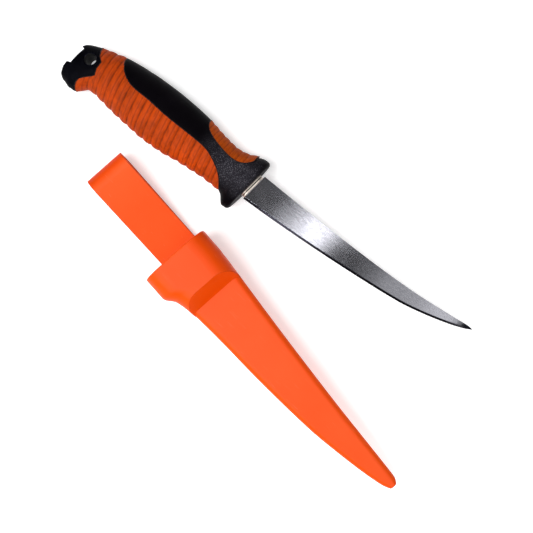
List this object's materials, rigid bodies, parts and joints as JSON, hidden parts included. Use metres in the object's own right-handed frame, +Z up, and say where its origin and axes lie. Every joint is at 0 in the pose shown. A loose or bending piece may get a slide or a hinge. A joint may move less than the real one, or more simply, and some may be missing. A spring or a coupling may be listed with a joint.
{
  "type": "fillet knife with sheath",
  "caption": "Fillet knife with a slim upswept blade, ribbed soft grip and lanyard hole, beside its moulded sheath with a belt loop, which slides clear.",
  "frame": {"origin": "on the table, under the middle of the knife and sheath as they lie side by side", "axes": "+X along the sheath towards its tip, the blade pointing the same way turned 11.1 degrees towards +Y; +Y from the sheath to the knife, which is the way the blade's spine faces; +Z up from the table"},
  "size_m": [0.3108, 0.1236, 0.0362],
  "materials": {
    "blade_steel": "brushed",
    "collar_steel": "satin",
    "core_plastic": "fine textured",
    "grip_rubber": "soft matte",
    "pommel_plastic": "smooth matte",
    "sheath_plastic": "satin moulded",
    "rivet_steel": "plated"
  },
  "bodies": {
    "knife": {"blade": "blade_steel", "bolster_collar": "collar_steel", "handle_core": "core_plastic", "grip_overmould": "grip_rubber", "thumb_grip": "grip_rubber", "pommel_cap": "pommel_plastic"},
    "sheath": {"sheath_body": "sheath_plastic", "belt_strap": "sheath_plastic", "strap_rivets": "rivet_steel"}
  },
  "joints": [
    {"name": "sheath_draw", "type": "slide", "parent": "knife", "child": "sheath", "axis": [1, 0, 0], "range_m": [0, 0.17]}
  ]
}
